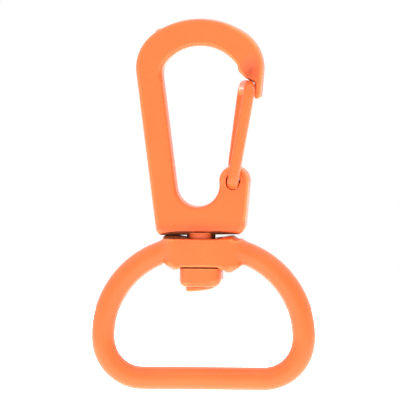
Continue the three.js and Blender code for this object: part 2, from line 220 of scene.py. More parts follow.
def arc(centre, radius, start, end, step=3.0):
    """Points of an arc, both ends included."""
    count = max(1, round(abs(end - start) / step))
    return [around(centre, radius, start + (end - start) * i / count) for i in range(count + 1)]


def corner_centre(start, lean, floor, radius, side):
    """Centre of a corner that touches a leaning side and the level z = floor."""
    z = floor + radius
    x = start[0] - side * math.tan(math.radians(lean)) * (start[1] - z)
    return (x - side * radius / math.cos(math.radians(lean)), z)


def round_corner(before, corner, after, radius, steps=8):
    """A corner of a polyline, in any number of dimensions, rounded to a radius."""
    before, corner, after = (np.asarray(p, float) for p in (before, corner, after))
    a = (before - corner) / np.linalg.norm(before - corner)
    b = (after - corner) / np.linalg.norm(after - corner)
    half = math.acos(float(np.clip(a @ b, -1, 1))) / 2
    reach = radius / math.tan(half)
    middle = (a + b) / np.linalg.norm(a + b)
    centre = corner + middle * radius / math.sin(half)
    start = corner + a * reach - centre
    end = corner + b * reach - centre
    turn = math.pi - 2 * half
    points = []
    for i in range(steps + 1):
        t = i / steps
        weights = math.sin((1 - t) * turn), math.sin(t * turn)
        points.append(centre + (start * weights[0] + end * weights[1]) / math.sin(turn))
    return points


def hook_outline():
    """Outline of the hook casting, clockwise from the base's lower left corner."""
    rise = CROWN[2] - SHOULDER_R
    lean = math.radians(SPINE_LEAN)

    def shoulder(side):
        angle = math.radians(CROWN_HALF_ANGLE)
        return (CROWN[0] + side * rise * math.sin(angle), CROWN[1] + rise * math.cos(angle))

    left, right = shoulder(-1), shoulder(1)
    spine_top = around(left, SHOULDER_R, 180 + SPINE_LEAN)
    base_left = corner_centre(spine_top, SPINE_LEAN, BASE_Z - BASE_TILT, BASE_LEFT_R, -1)
    ear_side = around(EAR, EAR[2], -BASE_RIGHT_LEAN)
    base_right = corner_centre(ear_side, BASE_RIGHT_LEAN, BASE_Z + BASE_TILT, BASE_RIGHT_R, 1)

    # The inner shoulder's arc touches the inner crown and the window's left side
    inner_crown, inner_crown_r = INNER_CROWN[:2], INNER_CROWN[2]
    normal = np.array((math.cos(lean), math.sin(lean)))
    along = np.array((-normal[1], normal[0]))
    side_at = np.dot(BIGHT[:2], normal) - BIGHT[2]
    across = side_at + INNER_SHOULDER_R - np.dot(normal, inner_crown)
    up = math.sqrt((inner_crown_r - INNER_SHOULDER_R) ** 2 - across**2)
    inner_shoulder = np.array(inner_crown) + across * normal + up * along
    slope = (inner_shoulder[1] - inner_crown[1]) / (inner_shoulder[0] - inner_crown[0])
    meet = 180 + math.degrees(math.atan(slope))
    bight_to_ear = math.degrees(math.atan2(EAR[1] - BIGHT[1], EAR[0] - BIGHT[0]))

    tip_inner = around(FINGER_TIP, FINGER_TIP[2], 180)
    crown_end = around(inner_crown, inner_crown_r, NOSE_ANGLE)
    return [
        *arc(base_left, BASE_LEFT_R, 270, 180 + SPINE_LEAN, 8),
        *arc(left, SHOULDER_R, 180 + SPINE_LEAN, 90 + CROWN_HALF_ANGLE),
        *arc(CROWN, CROWN[2], 90 + CROWN_HALF_ANGLE, 90 - CROWN_HALF_ANGLE, 2)[1:],
        *arc(right, SHOULDER_R, 90 - CROWN_HALF_ANGLE, -FINGER_LEAN)[1:],
        *arc(FINGER_TIP, FINGER_TIP[2], -FINGER_LEAN, -180, 15),
        *round_corner(tip_inner, FINGER_ROOT, NOSE_UNDER, FINGER_ROOT_R),
        *round_corner(NOSE_UNDER, NOSE_CHIN, NOSE_BEAK, NOSE_CHIN_R),
        *round_corner(NOSE_CHIN, NOSE_BEAK, crown_end, NOSE_BEAK_R),
        *arc(inner_crown, inner_crown_r, NOSE_ANGLE, meet, 2.5),
        *arc(inner_shoulder, INNER_SHOULDER_R, meet, 180 + SPINE_LEAN, 4)[1:],
        *arc(BIGHT, BIGHT[2], 180 + SPINE_LEAN, 360 + bight_to_ear, 4),
        *arc(EAR, EAR[2], 180 + bight_to_ear, -BASE_RIGHT_LEAN, 4),
        *arc(base_right, BASE_RIGHT_R, -BASE_RIGHT_LEAN, -90, 8),
    ]


# ---------------------------------------------------------------- distance fields, mm


def smoothstep(value, low, high):
    """0 below low and 1 above high, with a smooth rise between them."""
    t = np.clip((value - low) / (high - low), 0, 1)
    return t * t * (3 - 2 * t)


def smooth_min(a, b, k):
    """Union whose inside corners are filled with a fillet."""
    h = np.maximum(k - np.abs(a - b), 0) / k
    return np.minimum(a, b) - h * h * k / 4


def smooth_max(a, b, k):
    """Intersection whose outside corners are rounded off."""
    return -smooth_min(-a, -b, k)


def rounded_slab(outline, depth, edge):
    """A flat shape from its outline's and its depth's distances, its edges rounded."""
    a = outline + edge
    b = depth + edge
    return np.minimum(np.maximum(a, b), 0) + np.hypot(np.maximum(a, 0), np.maximum(b, 0)) - edge


def rounded_rectangle(x, y, half_x, half_y, radius):
    """Signed distance to a rectangle with rounded corners."""
    a = np.abs(x) - half_x + radius
    b = np.abs(y) - half_y + radius
    return np.minimum(np.maximum(a, b), 0) + np.hypot(np.maximum(a, 0), np.maximum(b, 0)) - radius


def outside(value, limits):
    """How far a value is outside a pair of limits, and 0 between them."""
    return np.maximum(np.maximum(limits[0] - value, value - limits[1]), 0)


def ellipsoid(x, y, z, size):
    """Distance to an ellipsoid about the origin, near enough for a small one."""
    scaled = np.sqrt(sum((p / s) ** 2 for p, s in zip((x, y, z), size)))
    return (scaled - 1) * min(size)


def polygon_distance(points):
    """Signed distance to a closed outline in the XZ plane, as a function of x and z."""
    corners = np.array(points, float)
    corners = corners[np.linalg.norm(corners - np.roll(corners, 1, 0), axis=1) > 1e-6]

    def distance(x, z):
        nearest = np.full(np.broadcast(x, z).shape, np.inf)
        inside = np.zeros(nearest.shape, bool)
        for (ax, az), (bx, bz) in zip(corners, np.roll(corners, -1, 0)):
            ex, ez = bx - ax, bz - az
            wx, wz = x - ax, z - az
            t = np.clip((wx * ex + wz * ez) / (ex * ex + ez * ez), 0, 1)
            nearest = np.minimum(nearest, (wx - ex * t) ** 2 + (wz - ez * t) ** 2)
            if ez:
                inside ^= ((az <= z) != (bz <= z)) & (wx < ex * wz / ez)
        return np.where(inside, -1, 1) * np.sqrt(nearest)

    return distance


HOOK_DISTANCE = polygon_distance(hook_outline())


def hook_walls(x, y, z):
    """Distance to the hook's outline, drafted both ways and relieved beside the gate's top."""
    from_gate = np.hypot(x - GATE_RELIEF["x"], z - GATE_RELIEF["z"]) / GATE_RELIEF["reach"]
    relief = GATE_RELIEF["slope"] * (1 - smoothstep(from_gate, 0.6, 1.0))
    off_middle = np.abs(y)
    drawn_in = HOOK_DRAFT * off_middle + relief * np.maximum(off_middle - GATE_RELIEF["flat"], 0)
    return HOOK_DISTANCE(x, z) - HOOK_GROWTH + drawn_in


def gate_hole(x, z):
    """Distance to the hole that the gate's feet turn in."""
    hole = np.hypot(x - GATE_HOLE[0], z - GATE_HOLE[1]) - GATE_HOLE[2]
    seat = np.hypot(x - GATE_SEAT[0], z - GATE_SEAT[1]) - GATE_SEAT[2]
    return smooth_min(hole, seat, GATE_HOLE_BLEND)


def nose_hollow(x, z):
    """1 in the middle of the hollow in the nose's faces, fading to 0 round it."""
    dx = x - NOSE_HOLLOW["x"]
    dz = z - NOSE_HOLLOW["z"]
    across = (dx - NOSE_HOLLOW["lean"] * dz) / NOSE_HOLLOW["across"]
    along = (dz + NOSE_HOLLOW["lean"] * dx) / NOSE_HOLLOW["along"]
    return np.exp(-(across**2) - along**2)


def hook_edge(x, z):
    """Radius of the edges round the hook's faces, which isn't the same all the way."""
    under_base = 1 - smoothstep(z, BASE_Z + 0.4, BASE_Z + 2.4)
    from_crown = np.hypot(x - INNER_CROWN[0], z - INNER_CROWN[1]) - INNER_CROWN[2]
    under_crown = (1 - smoothstep(from_crown, -0.1, 0.5)) * smoothstep(z, -6, -3)
    edge = HOOK_EDGE + HOOK_BASE_EDGE * under_base + HOOK_CROWN_EDGE * under_crown
    gate_side = smoothstep(x, 3.0, 5.0) * smoothstep(z, BASE_Z + 1.5, BASE_Z + 3.0)
    outer_side = smoothstep(x, 7.0, 7.8) * (1 - smoothstep(z, -5.5, -4.0))
    return edge * (1 - EAR_CRISPER * gate_side) * (1 - FINGER_CRISPER * outer_side)


def casting_nub(x, y, z):
    """The stub of a casting sprue on the crown's left shoulder."""
    turn = math.radians(CASTING_NUB["turn"])
    dx = x - CASTING_NUB["x"]
    dz = z - CASTING_NUB["z"]
    along = dx * math.cos(turn) + dz * math.sin(turn)
    up = dz * math.cos(turn) - dx * math.sin(turn)
    return ellipsoid(along, y - CASTING_NUB["y"], up, CASTING_NUB["size"])


def hook_field(x, y, z):
    """The hook casting: base, spine, crown, ear, nose and finger."""
    depth = HOOK_HALF_DEPTH - NOSE_HOLLOW["depth"] * nose_hollow(x, z)
    body = rounded_slab(hook_walls(x, y, z), np.abs(y) - depth, hook_edge(x, z))
    body = smooth_max(body, -gate_hole(x, z), GATE_HOLE_EDGE)
    return smooth_min(body, casting_nub(x, y, z), CASTING_NUB_FILLET)


def ring_bar(x, y, z):
    """The ring's round bar, by its distance from the bar's centre line."""
    ax = np.abs(x)
    side = np.abs(np.hypot(ax - RING_SIDE[0], z - RING_SIDE[1]) - RING_SIDE[2])
    corner = np.abs(np.hypot(ax - RING_CORNER[0], z - RING_CORNER[1]) - RING_CORNER[2])
    bottom = np.abs(z - (RING_CORNER[1] - RING_CORNER[2]))
    lower = np.where(ax > RING_CORNER[0], corner, bottom)
    line = np.where(z > RING_CORNER[1], side, lower)
    return np.hypot(line, y) - RING_BAR_R


def collar_block(x, y, z):
    """The swivel collar before its dish, bore and recess are cut."""
    ay = np.abs(y)
    bowed = ay + COLLAR_BOW * x * x
    plan = rounded_rectangle(x, bowed, COLLAR_HALF_WIDTH, COLLAR_HALF_DEPTH, COLLAR_CORNER_R)
    fall = COLLAR_TOP_FALL[0] * outside(x, COLLAR_RIDGE_X)
    fall = fall + COLLAR_TOP_FALL[1] * np.maximum(ay - COLLAR_RIDGE_Y, 0)
    top = (z - np.maximum(COLLAR_TOP - fall, COLLAR_SHOULDER)) * COLLAR_SLOPE_SCALE
    rise = COLLAR_KEEL_RISE[0] * outside(x, COLLAR_KEEL_X)
    rise = rise + COLLAR_KEEL_RISE[1] * np.maximum(ay - COLLAR_KEEL_Y, 0)
    bottom = (COLLAR_BOTTOM + rise - z) * COLLAR_SLOPE_SCALE
    return smooth_max(smooth_max(plan, top, COLLAR_TOP_EDGE), bottom, COLLAR_KEEL_EDGE)


def collar_dish(x, y, z):
    """The shallow dish on the collar's top, round the bore."""
    off_dish = np.hypot(x - COLLAR_DISH_X, y)
    floor = COLLAR_DISH_FLOOR + COLLAR_DISH_SLOPE * np.maximum(off_dish - COLLAR_DISH_R, 0)
    return np.maximum(floor - z, np.hypot(x, y) - COLLAR_DISH_REACH)


def collar_recess(x, y, z):
    """The round recess under the collar, over the cap."""
    below = np.clip(COLLAR_RECESS_ROOF - z, 0, 1)
    side = np.hypot(x, y) - COLLAR_RECESS_R - COLLAR_RECESS_FLARE * below
    return np.maximum(np.maximum(side, z - COLLAR_RECESS_ROOF), CUT_END - z)


def ring_field(x, y, z):
    """The webbing ring and its collar, one casting."""
    off_middle = np.abs(z - COLLAR_MIDDLE)
    fillet = RING_FILLET + RING_FILLET_MIDDLE * (1 - smoothstep(off_middle, 1.0, 2.3))
    casting = smooth_min(ring_bar(x - RING_X, y, z), collar_block(x - RING_X, y, z), fillet)
    bore = np.maximum(np.hypot(x, y) - COLLAR_BORE_R, CUT_END - z)
    casting = smooth_max(casting, -collar_dish(x, y, z), COLLAR_DISH_EDGE)
    casting = smooth_max(casting, -collar_recess(x, y, z), COLLAR_RECESS_EDGE)
    return smooth_max(casting, -bore, COLLAR_BORE_EDGE)


def rivet_field(x, y, z):
    """The stud's riveted end: uneven in outline, tilted, with a crater in its middle."""
    dx = x - RIVET["x"]
    turned = np.arctan2(y, dx)
    waves = sum(height * np.sin(number * turned + phase) for number, height, phase in RIVET_WAVES)
    plan = np.hypot(dx, y) - RIVET["radius"] - waves
    from_crater = (x - RIVET_CRATER["x"]) ** 2 + y**2
    crater = RIVET_CRATER["depth"] * np.exp(-from_crater / RIVET_CRATER["spread"])
    under = RIVET["z"] + RIVET["tilt"][0] * x + RIVET["tilt"][1] * y - z + crater
    return rounded_slab(plan, np.maximum(under, z - CAP_BOTTOM - 0.05), RIVET["edge"])


def stud_field(x, y, z):
    """The stud: flared neck, shank and riveted end."""
    axis = np.hypot(x, y)
    flare = STUD_FLARE * np.exp(-np.maximum(BASE_Z + 0.25 - z, 0) / STUD_FLARE_HEIGHT)
    neck_ends = np.maximum(z - BASE_Z - STUD_OVERLAP, CAP_TOP - z)
    neck = np.maximum(axis - STUD_NECK_R - flare, neck_ends)
    shank_ends = np.maximum(z - CAP_TOP - STUD_OVERLAP, CAP_BOTTOM - 0.1 - z)
    shank = np.maximum(axis - STUD_SHANK_R, shank_ends)
    return np.minimum(np.minimum(neck, shank), rivet_field(x, y, z))


def cap_field(x, y, z):
    """The cap that the riveted end holds under the collar."""
    x = x - CAP_X
    bowed = np.abs(y) + CAP_BOW * x * x
    plan = rounded_rectangle(x, bowed, CAP_HALF_WIDTH, CAP_HALF_WIDTH, CAP_CORNER_R)
    middle = (CAP_TOP + CAP_BOTTOM) / 2
    half = (CAP_TOP - CAP_BOTTOM) / 2
    lower = 1 - smoothstep(z, middle - 0.4, middle + 0.4)
    edge = CAP_EDGE + (CAP_LOWER_EDGE + CAP_RIGHT_EDGE * smoothstep(x, 0.5, 2.5)) * lower
    return rounded_slab(plan, np.abs(z - middle) - half, edge)


# ---------------------------------------------------------------- meshing

SLOPE_REACH = 0.02  # mm, how far round a point its slope is sampled
FLATTEST = 0.05  # lowest squared slope that a step towards the surface is divided by
TONE_GAIN = 0.9
TONE_ROUNDS = 4  # rounds of smoothing of the edge tone
TONE_BLEND = 0.6  # share of the neighbours' mean in each round
SHADE_SKIN_FROM = 0.6  # faces with at least this much painted shade get the dark matt material


def gradient(field, points):
    """Slope of a field at points, from four samples round each."""
    slope = np.zeros_like(points)
    for corner in ((1, -1, -1), (-1, -1, 1), (-1, 1, -1), (1, 1, 1)):
        at = points + SLOPE_REACH * np.array(corner)
        slope += np.array(corner) * field(at[:, 0], at[:, 1], at[:, 2])[:, None]
    return slope / (4 * SLOPE_REACH)


def settle(field, points, step, rounds=3):
    """Moves points onto a field's surface, and gives them with their outward normals."""
    for _ in range(rounds):
        slope = gradient(field, points)
        steepness = np.maximum((slope**2).sum(1), FLATTEST)
        off = field(points[:, 0], points[:, 1], points[:, 2]) / steepness
        points = points - slope * np.clip(off, -step, step)[:, None]
    normals = gradient(field, points)
    return points, normals / np.maximum(np.linalg.norm(normals, axis=1), 1e-9)[:, None]


def surface_net(values, low, step):
    """Vertices and quads of the zero surface of a field sampled on a grid."""
    inside = values < 0
    cells = tuple(n - 1 for n in values.shape)
    total = np.zeros(cells + (3,))
    count = np.zeros(cells)
    grid = np.indices(cells)
    for axis in range(3):
        u, v = (k for k in range(3) if k != axis)
        first = np.moveaxis(values, axis, 0)[:-1]
        second = np.moveaxis(values, axis, 0)[1:]
        crossed = (first < 0) != (second < 0)
        place = np.where(crossed, first / np.where(crossed, first - second, 1), 0)
        crossed = np.moveaxis(crossed, 0, axis)
        place = np.moveaxis(place, 0, axis)
        for du in (0, 1):
            for dv in (0, 1):
                take = [slice(None)] * 3
                take[u] = slice(du, du + cells[u])
                take[v] = slice(dv, dv + cells[v])
                hit = crossed[tuple(take)]
                count += hit
                total[..., axis] += np.where(hit, grid[axis] + place[tuple(take)], 0)
                total[..., u] += np.where(hit, grid[u] + du, 0)
                total[..., v] += np.where(hit, grid[v] + dv, 0)
    active = count > 0
    number = np.full(cells, -1)
    number[active] = np.arange(active.sum())
    points = np.array(low) + step * total[active] / count[active][:, None]

    quads = []
    for axis in range(3):
        order = (axis, (axis + 1) % 3, (axis + 2) % 3)
        within = np.transpose(inside, order)
        index = np.transpose(number, order)
        lower = within[:-1, 1:-1, 1:-1]
        upper = within[1:, 1:-1, 1:-1]
        ring = (index[:, :-1, :-1], index[:, 1:, :-1], index[:, 1:, 1:], index[:, :-1, 1:])
        for found, turn in ((lower & ~upper, 1), (upper & ~lower, -1)):
            quads.append(np.stack([r[found] for r in ring], axis=1)[:, ::turn])
    return points, np.concatenate(quads)


def edge_tone(points, quads, normals):
    """How convex (above 0.5) or hollow (below 0.5) the surface is at each vertex."""
    pairs = np.concatenate([quads[:, [i, (i + 1) % 4]] for i in range(4)])
    pairs = np.concatenate([pairs, pairs[:, ::-1]])
    links = np.bincount(pairs[:, 0], minlength=len(points)).clip(1)

    def average(values):
        return np.bincount(pairs[:, 0], weights=values[pairs[:, 1]], minlength=len(points)) / links

    mean = np.stack([average(points[:, k]) for k in range(3)], axis=1)
    gaps = points[pairs[:, 0]] - points[pairs[:, 1]]
    spacing = np.bincount(pairs[:, 0], weights=(gaps**2).sum(1), minlength=len(points)) / links
    bend = -((mean - points) * normals).sum(1) / spacing.clip(1e-6)
    for _ in range(TONE_ROUNDS):
        bend = average(bend) * TONE_BLEND + bend * (1 - TONE_BLEND)
    return np.clip(0.5 + bend * TONE_GAIN, 0, 1)


def add_mesh(name, points, faces, normals, tone, painted_shade):
    """A smooth mesh object from points in millimetres."""
    mesh = bpy.data.meshes.new(name)
    mesh.from_pydata((points * MM).tolist(), [], faces)
    mesh.validate()
    mesh.shade_smooth()
    for layer_name, values in (("edge_tone", tone), ("painted_shade", painted_shade)):
        layer = mesh.attributes.new(layer_name, "FLOAT", "POINT")
        layer.data.foreach_set("value", values.astype(np.float32))
    mesh.normals_split_custom_set_from_vertices(normals.tolist())
    piece = bpy.data.objects.new(name, mesh)
    bpy.context.scene.collection.objects.link(piece)
    return piece


def split_materials(piece, painted_shade, faces):
    """Gives the faces where shade is painted the second, dark matt material."""
    index = (painted_shade[faces].mean(axis=1) > SHADE_SKIN_FROM).astype(np.int32)
    piece.data.polygons.foreach_set("material_index", index)


def mesh_field(name, field, painted_shade, materials, box):
    """A piece meshed from its field. Its third argument says where shade is painted, dark and
    matt.
    """
    low, high, step = box
    axes = [np.arange(a - 3 * step, b + 4 * step, step) for a, b in zip(low, high)]
    values = field(axes[0][:, None, None], axes[1][None, :, None], axes[2][None, None, :])
    start = [a[0] for a in axes]
    points, quads = surface_net(np.broadcast_to(values, [len(a) for a in axes]), start, step)
    points, normals = settle(field, points, step)
    tone = edge_tone(points, quads, normals)
    shade_amounts = painted_shade(*points.T)
    piece = add_mesh(name, points, quads.tolist(), normals, tone, shade_amounts)
    for material in materials:
        piece.data.materials.append(material)
    split_materials(piece, shade_amounts, quads)
    return piece


# ---------------------------------------------------------------- painted shade: gaps, hollows and undersides darkened

HOLE_SHADE_TO = 0.14  # mm from the hole's wall, where the painted shade ends
# painted shade under the base and up its lower faces
BASE_UNDER_SHADE = {"reach": 0.72, "x": 0.1, "half": 6.0, "neck_half": 2.1, "neck_share": 0.3}
BASE_SHADE = {"level": 0.3, "more": 0.2, "half": 2.4, "height": 2.2}
# painted shadow under the nose where the gate sits, and in the nose's hollow
NOSE_CONTACT_SHADOW = {"x": 6.65, "z": -4.7, "size": (0.8, 0.5), "level": 0.4}
NOSE_HOLLOW_SHADOW = 0.56
COLLAR_SHADE_HALF = (5.0, 5.5)  # mm across, where the painted shade on the collar's top fades out
COLLAR_SHADE_LESS = 0.65  # share of it taken off on the gate's side
# painted shade on the neck's front, in the gap under the base
NECK_FRONT_SHADE = 0.38
# painted shade on the upper part of the cap's right side
CAP_SIDE_SHADE = 0.5
BELOW_COLLAR = -33.2  # no shade is painted on the ring under this height


def hole_painted_shade(x, y, z):
    """Painted shade inside the gate's hole, less under the wire's foot."""
    deep = 1 - smoothstep(gate_hole(x, z), 0.0, HOLE_SHADE_TO)
    deep = deep * (1 - smoothstep(np.abs(y), 1.6, 1.86))
    return deep * smoothstep(z, GATE_SEAT[1] - 0.7, GATE_SEAT[1] - 0.3)


def base_painted_shade(x, z):
    """Painted shade under the base, less at its ends and by the stud, and weaker up its faces."""
    height = np.maximum(z - BASE_Z, 0)
    to_end = 1 - ((x - BASE_UNDER_SHADE["x"]) / BASE_UNDER_SHADE["half"]) ** 4
    reach = BASE_UNDER_SHADE["reach"] * np.clip(to_end, 0.05, 1)
    at_neck = np.exp(-((x / BASE_UNDER_SHADE["neck_half"]) ** 4))
    under = (1 - smoothstep(height, 0.5 * reach, reach)) * (1 - BASE_UNDER_SHADE["neck_share"] * at_neck)
    shade = BASE_SHADE["level"] + BASE_SHADE["more"] * np.exp(-((x / BASE_SHADE["half"]) ** 2))
    return np.maximum(under, shade * (1 - smoothstep(height, 0.2, BASE_SHADE["height"])))


def nose_painted_shadow(x, y, z):
    """Painted shadow under the nose, where the gate's top sits close, and in the hollow of its
    faces.
    """
    dx = (x - NOSE_CONTACT_SHADOW["x"]) / NOSE_CONTACT_SHADOW["size"][0]
    dz = (z - NOSE_CONTACT_SHADOW["z"]) / NOSE_CONTACT_SHADOW["size"][1]
    contact_shadow = NOSE_CONTACT_SHADOW["level"] * (1 - smoothstep(np.hypot(dx, dz), 0.6, 1.0))
    contact_shadow = contact_shadow * smoothstep(hook_walls(x, y, z), -0.1, -0.03)
    hollow_shadow = NOSE_HOLLOW_SHADOW * nose_hollow(x, z) ** 0.6 * smoothstep(np.abs(y), 0.8, 1.3)
    return np.maximum(contact_shadow, hollow_shadow)


def hook_painted_shade(x, y, z):
    """Where shade is painted on the hook, from 0 (none) to 1 (dark matt skin)."""
    return np.max([hole_painted_shade(x, y, z), base_painted_shade(x, z), nose_painted_shadow(x, y, z)], axis=0)


def ring_painted_shade(x, y, z):
    """Painted shade in the collar's bore, on the dish on its top and in the recess under it."""
    axis = np.hypot(x, y)
    on_collar = smoothstep(z, BELOW_COLLAR, BELOW_COLLAR + 0.1)
    top = smoothstep(z, COLLAR_SHOULDER + 0.06, COLLAR_SHOULDER + 0.2)
    top = top * (1 - smoothstep(np.abs(x + 0.15), *COLLAR_SHADE_HALF))
    top = top * (1 - COLLAR_SHADE_LESS * smoothstep(x, 1.5, 4.0))
    recess = 1 - smoothstep(z, COLLAR_RECESS_ROOF + 0.05, COLLAR_RECESS_ROOF + 0.2)
    recess = recess * (1 - smoothstep(axis, 3.3, 3.95)) * (1 - smoothstep(np.abs(y), 2.5, 2.95))
    bore = 1 - smoothstep(axis, COLLAR_BORE_R + 0.05, COLLAR_BORE_R + 0.2)
    return np.maximum(top, np.maximum(recess, bore) * on_collar)


def stud_painted_shade(x, y, z):
    """Painted shade on the neck in the gap: lighter in front, and full down its sides."""
    in_gap = smoothstep(z, -28.4, -28.0)
    side = smoothstep(np.maximum(np.abs(x), y + 1.2), 1.3, 1.9)
    return in_gap * (NECK_FRONT_SHADE + (1 - NECK_FRONT_SHADE) * side)


def cap_painted_shade(x, y, z):
    """Painted shade on the cap's top, under the collar, and weaker on the upper part of its right
    side.
    """
    top = smoothstep(z, CAP_TOP - 0.1, CAP_TOP - 0.02)
    side = CAP_SIDE_SHADE * smoothstep(x, 2.8, 3.0) * smoothstep(z, CAP_TOP - 1.8, CAP_TOP - 0.8)
    return np.maximum(top, side)


# ---------------------------------------------------------------- gate wire

GATE_SIDES = 28
GATE_STEP = 0.35  # mm between sections, at most
GATE_END_SHARE = 0.8  # of the radius, at the two cut ends
GATE_TONE = 0.55  # edge tone of the wire, rising to 1 on its back bend, where a highlight is painted


def gate_route():
    """Centre line of the gate's wire, from its front foot to its back foot."""
    x, z = GATE_PIVOT
    end_x, end_y, end_z = GATE_FOOT_END
    corners = [
        ((end_x, -end_y, end_z), 0),
        ((x, -GATE_LEG_Y, z), GATE_FOOT_BEND),
        ((GATE_FRONT_TOP_X, -GATE_LEG_Y, GATE_TOP_Z), GATE_TOP_BEND),
        ((GATE_BACK_TOP_X, GATE_LEG_Y, GATE_TOP_Z), GATE_TOP_BEND),
        ((GATE_BACK_KNEE[0], GATE_LEG_Y, GATE_BACK_KNEE[1]), GATE_KNEE_BEND),
        ((x, GATE_LEG_Y, z), GATE_FOOT_BEND),
        ((end_x, end_y, end_z), 0),
    ]
    route = [np.array(corners[0][0], float)]
    for i in range(1, len(corners) - 1):
        ends = corners[i - 1][0], corners[i][0], corners[i + 1][0]
        route += round_corner(*ends, corners[i][1], steps=14)
    route.append(np.array(corners[-1][0], float))
    dense = [route[0]]
    for a, b in zip(route, route[1:]):
        count = max(1, int(np.linalg.norm(b - a) / GATE_STEP))
        dense += [a + (b - a) * (i + 1) / count for i in range(count)]
    return np.array(dense)


def wire_sections(route, sides):
    """Points and outward normals round each point of the wire's route."""
    tangents = np.gradient(route, axis=0)
    tangents /= np.linalg.norm(tangents, axis=1)[:, None]
    across = np.array((1.0, 0.0, 0.0))
    points, normals = [], []
    last = len(route) - 1
    for i, (at, tangent) in enumerate(zip(route, tangents)):
        across = across - tangent * (across @ tangent)
        across /= np.linalg.norm(across)
        other = np.cross(tangent, across)
        radius = GATE_WIRE_R * (GATE_END_SHARE if i in (0, last) else 1.0)
        for k in range(sides):
            a = 2 * math.pi * k / sides
            outward = across * math.cos(a) + other * math.sin(a)
            points.append(at + outward * radius)
            normals.append(outward)
    return np.array(points), np.array(normals)


def wire_faces(count, sides):
    """The faces that join the sections, and the two ends."""
    faces = []
    for i in range(count - 1):
        for k in range(sides):
            here = i * sides + k
            beside = i * sides + (k + 1) % sides
            faces.append((here, beside, beside + sides, here + sides))
    last = (count - 1) * sides
    faces.append(tuple(range(sides))[::-1])
    faces.append(tuple(range(last, last + sides)))
    return faces


def add_gate(material):
    """The gate wire: a round section carried along its route."""
    route = gate_route()
    points, normals = wire_sections(route, GATE_SIDES)
    _, y, z = points.T
    # painted highlight on the wire's back bend
    back_bend_highlight = smoothstep(z, -7.35, -6.9) * smoothstep(y, 0.9, 1.6)
    # painted shade where the feet turn in the hole
    in_hole = 1 - smoothstep(np.abs(y), 1.3, 1.75)
    in_hole = in_hole * (1 - smoothstep(z, GATE_PIVOT[1] + 1.0, GATE_PIVOT[1] + 1.3))
    tone = GATE_TONE + (1 - GATE_TONE) * back_bend_highlight
    gate = add_mesh("gate", points, wire_faces(len(route), GATE_SIDES), normals, tone, in_hole)
    gate.data.materials.append(material)
    return gate


# ---------------------------------------------------------------- materials


class Nodes:
    """Short names for building one material's nodes."""

    def __init__(self, name):
        self.material = bpy.data.materials.new(name)
        self.material.use_nodes = True
        self.tree = self.material.node_tree
        self.tree.nodes.clear()

    def add(self, kind, **settings):
        """A node. Each setting is one of its inputs, or else one of its properties."""
        node = self.tree.nodes.new(kind)
        for key, value in settings.items():
            if key in node.inputs:
                node.inputs[key].default_value = value
            else:
                setattr(node, key, value)
        return node

    def link(self, source, target):
        self.tree.links.new(source, target)


def noise(nodes, place, scale, detail=2.0, roughness=0.5):
    """A noise value, from about 0.3 to 0.7."""
    made = nodes.add("ShaderNodeTexNoise", Scale=scale, Detail=detail, Roughness=roughness)
    nodes.link(place, made.inputs["Vector"])
    return made.outputs["Fac"]


def ramp(nodes, value, low, high):
    """A value spread from low..high to 0..1."""
    made = nodes.add("ShaderNodeMapRange")
    made.inputs["From Min"].default_value = low
    made.inputs["From Max"].default_value = high
    nodes.link(value, made.inputs["Value"])
    return made.outputs["Result"]


def mix_colour(nodes, amount, first, second):
    """Two colours mixed. Each is a tuple or another node's output."""
    made = nodes.add("ShaderNodeMix", data_type="RGBA")
    sockets = made.inputs
    nodes.link(amount, sockets[0])
    for socket, value in ((sockets[6], first), (sockets[7], second)):
        if isinstance(value, tuple):
            socket.default_value = (*value, 1.0)
        else:
            nodes.link(value, socket)
    return made.outputs[2]


def bump(nodes, height, distance, strength, before=None):
    """A normal from a height. distance is in millimetres."""
    made = nodes.add("ShaderNodeBump", Distance=distance * MM, Strength=strength)
    nodes.link(height, made.inputs["Height"])
    if before is not None:
        nodes.link(before, made.inputs["Normal"])
    return made.outputs["Normal"]


# Colours, linear
PAINT = (0.58, 0.0695, 0.0115)
PAINT_DEEP = (0.56, 0.064, 0.0100)
PAINT_THIN_HIGHLIGHT = (0.66, 0.27, 0.09)  # on sharp edges: thin paint and a painted highlight
PAINT_HOLLOW_SHADE = (0.40, 0.044, 0.003)  # in inside corners and hollows: painted shade
MIDDLE_LINE_DARK = (0.30, 0.042, 0.008)
SPECK = (0.20, 0.04, 0.012)
# Painted shade: dark matt colours for gaps, hollows and under parts
SHADE_DARK = (0.075, 0.013, 0.003)
SHADE_DARK_MOTTLE = (0.13, 0.026, 0.007)

PARTING_HALF = 0.06  # mm, half the width of the darker line along the middle plane

# Scales of the textures, per metre: 1000 is one feature in each millimetre
CLOUD_SCALE = 180.0
DUST_SCALE = 330.0
DUST_THINNING_SCALE = 900.0
PEEL_SCALE = 1500.0
GRAIN_SCALE = 9000.0
CASTING_SCALE = 1300.0


def along_parting(nodes, place):
    """1 on the casting's parting line, in its middle plane, and 0 away from it."""
    parts = nodes.add("ShaderNodeSeparateXYZ")
    nodes.link(place, parts.inputs["Vector"])
    away = nodes.add("ShaderNodeMath", operation="ABSOLUTE")
    nodes.link(parts.outputs["Y"], away.inputs[0])
    return ramp(nodes, away.outputs[0], PARTING_HALF * MM, 0.3 * PARTING_HALF * MM)


